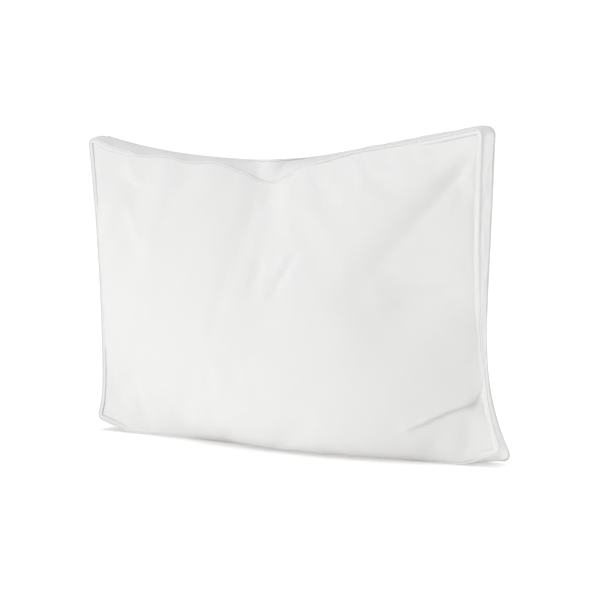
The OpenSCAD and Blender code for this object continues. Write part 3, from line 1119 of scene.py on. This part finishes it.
# %% [markdown]
# ## Filling
#
# Inside is a loose mass of down and small feather. It follows the inside of the panels,
# a little clear of them, and its skin is lumpy with tufts. It shows only when a panel is
# taken away.

# %% The loose fill
fill_gap = 7 * MM
fill_rim = allowance + 5 * MM
tuft_size = 16 * MM
tuft_depth = 2.5 * MM


def fill_skin(grid, side):
    """Every second point of a panel, moved inside by the gap and drawn in at the seams."""
    inside = grid - outward(grid, side) * fill_gap
    inside = inside[::2, ::2]
    middle = np.array([0, 0, 0.45 * back_corner_height])
    reach = np.array([1 - fill_rim / half_length, 1, 1 - 2 * fill_rim / back_corner_height])
    inside = middle + (inside - middle) * reach
    tufts = [noise.fractal(Vector(p) / tuft_size, 0.6, 2.0, 3) for p in inside.reshape(-1, 3)]
    inside[..., 1] -= side * tuft_depth * (1 + np.array(tufts).reshape(inside.shape[:2]))
    inside[..., 2] = np.maximum(inside[..., 2], fill_gap)
    return inside


def filling():
    nx, ny = count_along // 2, count_up // 2
    front, back = fill_skin(front_cloth, FRONT), fill_skin(back_cloth, BACK)
    size = (nx + 1) * (ny + 1)
    rim = np.array([i * (ny + 1) + j for i, j in rim_cells(nx, ny)])
    faces = grid_quads(nx, ny) + grid_quads(nx, ny, size, True) + ring_quads(rim, rim + size)
    piece = new_piece("pillow_filling", np.concatenate([front.reshape(-1, 3), back.reshape(-1, 3)]), faces)
    applied(piece, ("SUBSURF", {"levels": 2, "render_levels": 2}))
    return dress(piece, loose_fill, "loose_fill", "filling")


fill = filling()

# %% [markdown]
# The cloth pieces are sheets, cut flat and then sewn. A filled casing draws in a little,
# so a panel's cut is slightly longer and higher than the pillow. Every cut has the seam
# allowance on each side.

drawn_in = (0.963, 0.975)  # what is left of a cut's length and height once it is filled
panel_cut = (
    2 * half_length / drawn_in[0] + 2 * allowance,
    back_corner_height / drawn_in[1] + 2 * allowance,
)


def strip_cut(first, last):
    """The width and length of a flat strip of the band, between two stations."""
    edge = back_seam[np.arange(first, last + 1) % len(RIM)]
    length = np.linalg.norm(np.diff(edge, axis=0), axis=1).sum()
    return 2 * half_band + 2 * allowance, float(length) + 2 * allowance


cuts = {
    front_panel: panel_cut,
    back_panel: panel_cut,
    long_strip: strip_cut(join_last, len(RIM) + join_first),
    foot_strip: strip_cut(join_first, join_last),
}
for piece, cut in cuts.items():
    print(piece.name, "flat size, mm:", [round(1000 * side) for side in cut])

# %% [markdown]
# ## Light and camera
#
# The pillow stands on a white floor in a bright, even studio. A broad key light from the
# upper left models the folds. It is kept off the floor, where it would throw a long
# shadow. The floor has a wash of its own from above, which leaves a short dark line under
# the pillow, and it glows a little to stay white. Two weaker lights behind keep the top
# and the right end from going grey. The background is white to the camera, but lights
# the room less than it shows, so that the key still counts. This is a studio's trick and
# not one real set of lamps.
#
# The camera stands to the right of the front, a little lower than the pillow's top, and
# looks slightly down. It is far off with a long lens, so the pillow is hardly distorted.

# %% Floor
floor_half = 20


def studio_floor():
    corners = [(-floor_half, -floor_half, 0), (floor_half, -floor_half, 0),
               (floor_half, floor_half, 0), (-floor_half, floor_half, 0)]
    floor = new_piece("studio_floor", corners, [[0, 1, 2, 3]], smooth=False)
    finish = Finish("studio_floor", roughness=0.9, sheen=0.0)
    finish.set("Base Color", (0.93, 0.925, 0.915, 1))
    finish.set("Specular IOR Level", 0.1)
    finish.set("Emission Color", (1, 0.99, 0.98, 1))
    finish.set("Emission Strength", 0.27)
    floor.data.materials.append(finish.material)
    return floor


floor = studio_floor()

# %% White room
room_light = 0.50
room_seen = 1.1
scene = bpy.context.scene
scene.view_settings.view_transform = "Standard"
world = bpy.data.worlds.new("studio")
world.use_nodes = True
scene.world = world
background = world.node_tree.nodes["Background"]
background.inputs["Color"].default_value = (1, 1, 1, 1)
rays = world.node_tree.nodes.new("ShaderNodeLightPath")
strength = Value(world.node_tree, rays.outputs["Is Camera Ray"]) * (room_seen - room_light) + room_light
world.node_tree.links.new(strength.socket, background.inputs["Strength"])


# %% Lamps
def soft_sun(name, direction, angle, strength):
    """Even light from one direction. A wide angle makes its shadows soft."""
    light = bpy.data.lights.new(name, "SUN")
    light.energy = strength
    light.angle = math.radians(angle)
    lamp = bpy.data.objects.new(name, light)
    lamp.rotation_euler = Vector(direction).to_track_quat("Z", "Y").to_euler()
    scene.collection.objects.link(lamp)
    return lamp


def aim(lamp, piece, state):
    """Keeps a lamp off one piece ("EXCLUDE"), or on that piece alone ("INCLUDE")."""
    aimed = bpy.data.collections.new(lamp.name + "_aim")
    aimed.objects.link(piece)
    aimed.collection_objects[0].light_linking.link_state = state
    lamp.light_linking.receiver_collection = aimed


soft_sun("right_rim", (0.90, 0.42, 0.25), 40, 1.0)
soft_sun("top_rim", (0.0, 0.40, 1.0), 40, 0.35)
aim(soft_sun("key", (-0.75, -0.82, 0.64), 30, 1.6), floor, "EXCLUDE")
aim(soft_sun("floor_wash", (0.0, -0.1, 1.0), 40, 0.85), floor, "INCLUDE")

# %% Camera
camera_turn = math.radians(30)
camera_tilt = math.radians(4.19)
camera_distance = 2.25
camera_height = 0.392
camera_aim_x = 0.0267
camera_sensor = 36
camera_lens = 88.6


def add_camera():
    camera = bpy.data.cameras.new("camera")
    camera.sensor_width = camera_sensor
    camera.lens = camera_lens
    holder = bpy.data.objects.new("camera", camera)
    holder.location = (
        camera_aim_x + camera_distance * math.sin(camera_turn),
        -camera_distance * math.cos(camera_turn),
        camera_height,
    )
    holder.rotation_euler = (math.pi / 2 - camera_tilt, 0, camera_turn)
    scene.collection.objects.link(holder)
    scene.camera = holder


add_camera()
